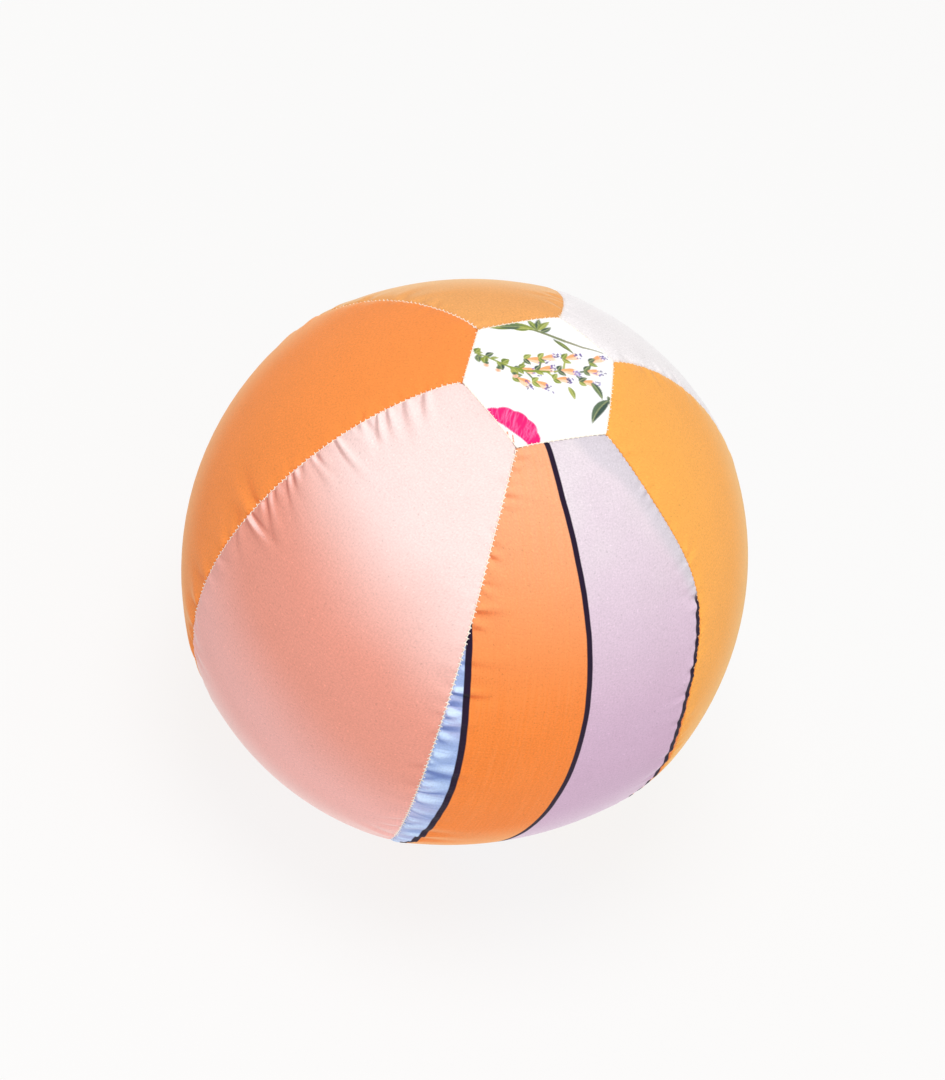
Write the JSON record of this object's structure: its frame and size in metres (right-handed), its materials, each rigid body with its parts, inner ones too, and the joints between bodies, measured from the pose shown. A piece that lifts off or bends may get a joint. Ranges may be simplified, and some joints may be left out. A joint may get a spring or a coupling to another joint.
{
  "type": "balloon ball",
  "caption": "Large light play and juggling ball: a sewn cotton cover of coloured gores and end panels over a tied balloon, put in through two overlapping base flaps.",
  "frame": {"origin": "centre of the ball", "axes": "+Z through the middle of the printed top panel, -Z through the middle of the closure at the base; -Y through the seam between the pink and the printed gores; the closure's hinge lines run along Y"},
  "size_m": [0.246, 0.25, 0.2376],
  "materials": {
    "printed_cotton": "matte plain-weave cotton, large orange, lilac and blue print",
    "amber_cotton": "matte plain-weave cotton",
    "white_cotton": "matte plain-weave cotton",
    "apricot_cotton": "matte plain-weave cotton",
    "orange_cotton": "matte plain-weave cotton",
    "pink_ombre_cotton": "matte plain-weave cotton, pale pink shading to salmon",
    "floral_cotton": null,
    "natural_cotton": "matte plain-weave cotton",
    "sewing_thread": "cream polyester sewing thread",
    "latex": "semi-gloss natural latex"
  },
  "bodies": {
    "cover": {"gore_printed": "printed_cotton", "gore_amber": "amber_cotton", "gore_white": "white_cotton", "gore_apricot": "apricot_cotton", "gore_orange": "orange_cotton", "gore_pink": "pink_ombre_cotton", "top_panel": "floral_cotton", "seam_thread_1": "sewing_thread", "seam_thread_2": "sewing_thread", "seam_thread_3": "sewing_thread", "seam_thread_4": "sewing_thread", "seam_thread_5": "sewing_thread", "seam_thread_6": "sewing_thread", "top_panel_thread": "sewing_thread", "outer_flap_seam_thread": "sewing_thread", "inner_flap_seam_thread": "sewing_thread"},
    "outer_flap": {"outer_flap": "floral_cotton", "outer_flap_hem_thread": "sewing_thread"},
    "inner_flap": {"inner_flap": "natural_cotton", "inner_flap_hem_thread": "sewing_thread"},
    "balloon": {"balloon": "latex", "balloon_knot": "latex"}
  },
  "joints": [
    {"name": "outer_flap_hinge", "type": "hinge", "parent": "cover", "child": "outer_flap", "pos_m": [0.03263, 0, -0.11806], "axis": [0, -1, 0], "range_deg": [0, 110]},
    {"name": "inner_flap_hinge", "type": "hinge", "parent": "cover", "child": "inner_flap", "pos_m": [-0.03263, 0, -0.11806], "axis": [0, 1, 0], "range_deg": [0, 37]},
    {"name": "balloon_turn", "type": "hinge", "parent": "cover", "child": "balloon", "pos_m": [0, 0, 0], "axis": [0, 0, 1], "continuous": true}
  ],
  "couplings": [
    {"joint": "inner_flap_hinge", "follows": "outer_flap_hinge", "ratio": 0.33333}
  ]
}
